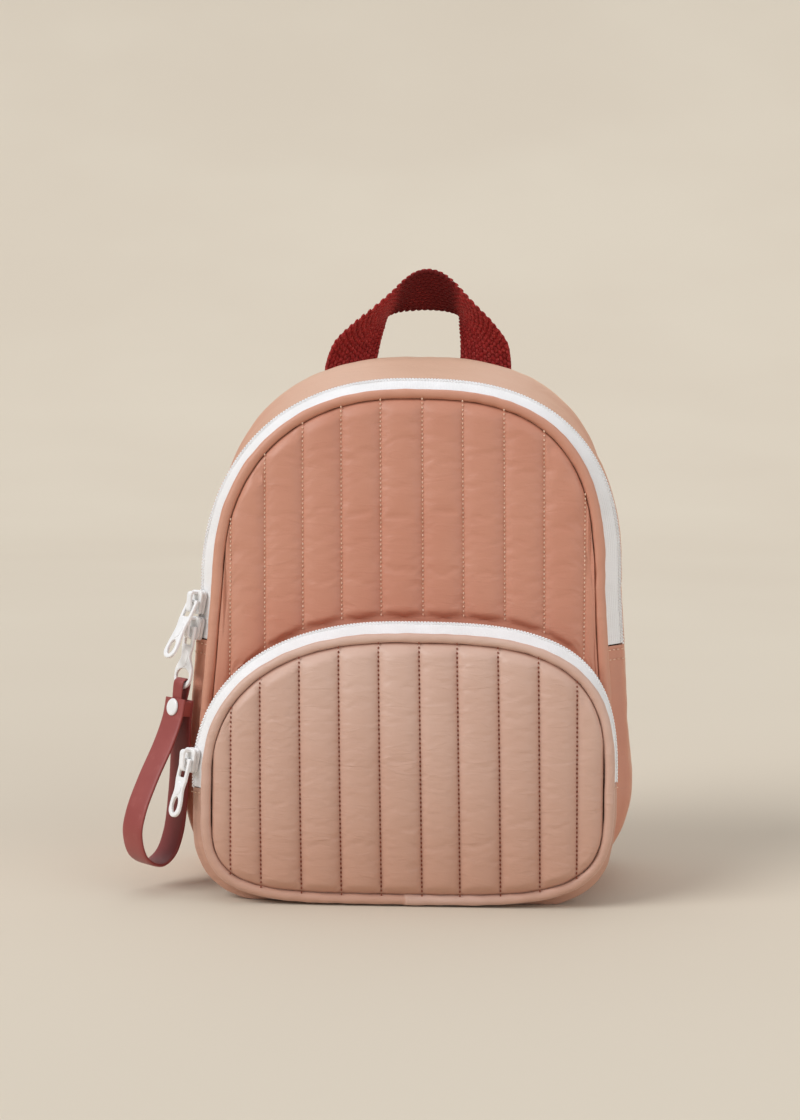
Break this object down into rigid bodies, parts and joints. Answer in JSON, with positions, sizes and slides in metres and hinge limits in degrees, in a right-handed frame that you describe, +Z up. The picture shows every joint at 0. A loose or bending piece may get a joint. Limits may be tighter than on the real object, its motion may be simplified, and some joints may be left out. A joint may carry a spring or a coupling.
{
  "type": "mini backpack",
  "caption": "Small arched backpack with a quilted front, a quilted zip pocket, white zips with swinging pulls, a webbing grab handle and padded shoulder straps.",
  "frame": {"origin": "centre of the flat base that the bag stands on, midway between the front seam and the back seam at the floor", "axes": "+X to the right seen from the front, +Y from the front to the back, +Z up; the quilted front faces -Y"},
  "size_m": [0.2346, 0.1437, 0.2872],
  "materials": {
    "terracotta_cloth": "crinkled nylon",
    "pink_cloth": "crinkled nylon",
    "white_zip": "woven tape with coil",
    "white_plastic": "satin",
    "burgundy_webbing": "coarse weave",
    "red_rubber": "matte"
  },
  "bodies": {
    "bag": {"front_panel": "terracotta_cloth", "front_piping": "terracotta_cloth", "upper_gusset": "terracotta_cloth", "lower_gusset": "terracotta_cloth", "back_panel": "terracotta_cloth", "pocket_zip_welt": "terracotta_cloth", "shoulder_strap_left": "terracotta_cloth", "shoulder_strap_right": "terracotta_cloth", "pocket_panel": "pink_cloth", "pocket_piping": "pink_cloth", "pocket_gusset": "pink_cloth", "main_zip_tape": "white_zip", "pocket_zip_tape": "white_zip", "main_slider_upper": "white_plastic", "main_slider_lower": "white_plastic", "pocket_slider": "white_plastic", "strap_adjuster_left": "white_plastic", "strap_adjuster_right": "white_plastic", "grab_handle": "burgundy_webbing", "strap_webbing_left": "burgundy_webbing", "strap_webbing_right": "burgundy_webbing"},
    "upper_pull": {"main_pull_upper": "white_plastic"},
    "lower_pull": {"main_pull_lower": "white_plastic", "tag_strap": "red_rubber", "tag_rivet": "white_plastic"},
    "pocket_pull_tab": {"pocket_pull": "white_plastic"}
  },
  "joints": [
    {"name": "upper_pull_swing", "type": "hinge", "parent": "bag", "child": "upper_pull", "pos_m": [-0.09978, -0.02378, 0.13066], "axis": [-0.7116, 0.7026, 0.0017], "range_deg": [0, 120]},
    {"name": "lower_pull_swing", "type": "hinge", "parent": "bag", "child": "lower_pull", "pos_m": [-0.10064, -0.02462, 0.11866], "axis": [-0.7116, 0.7026, 0.0017], "range_deg": [0, 26]},
    {"name": "pocket_pull_swing", "type": "hinge", "parent": "bag", "child": "pocket_pull_tab", "pos_m": [-0.0989, -0.05528, 0.06249], "axis": [-0.6612, 0.7501, -0.0107], "range_deg": [0, 120]}
  ]
}
